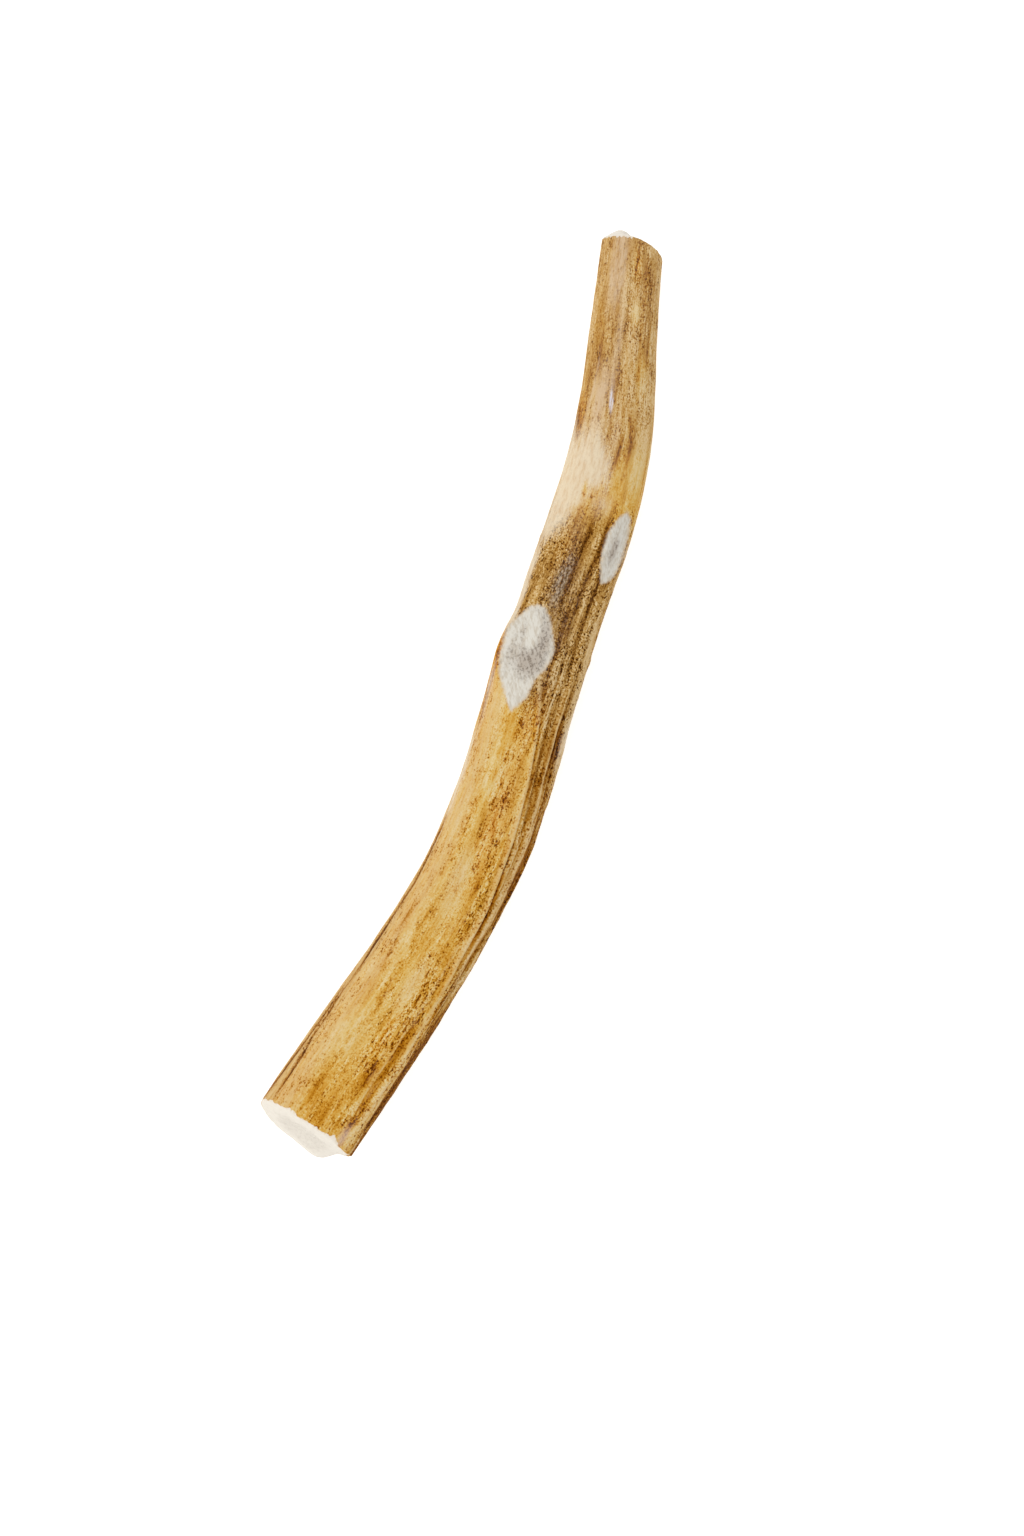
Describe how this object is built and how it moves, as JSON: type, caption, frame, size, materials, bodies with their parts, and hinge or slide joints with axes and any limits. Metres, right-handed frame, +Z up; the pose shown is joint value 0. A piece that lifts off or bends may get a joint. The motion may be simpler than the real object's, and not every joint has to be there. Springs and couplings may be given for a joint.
{
  "type": "deer antler",
  "caption": "Gently bent, tapering length of deer antler, sawn off aslant at both ends, with two side stumps ground flat; lies flat on a surface.",
  "frame": {"origin": "on the surface that the antler lies on, under the middle of its bounding box", "axes": "+X from the thick sawn end to the thin one, +Z up from the surface it lies on; the bend bulges towards -Y"},
  "size_m": [0.195, 0.0334, 0.0188],
  "materials": {
    "antler_bone": "satin"
  },
  "bodies": {
    "root": {"antler": "antler_bone"}
  },
  "joints": []
}
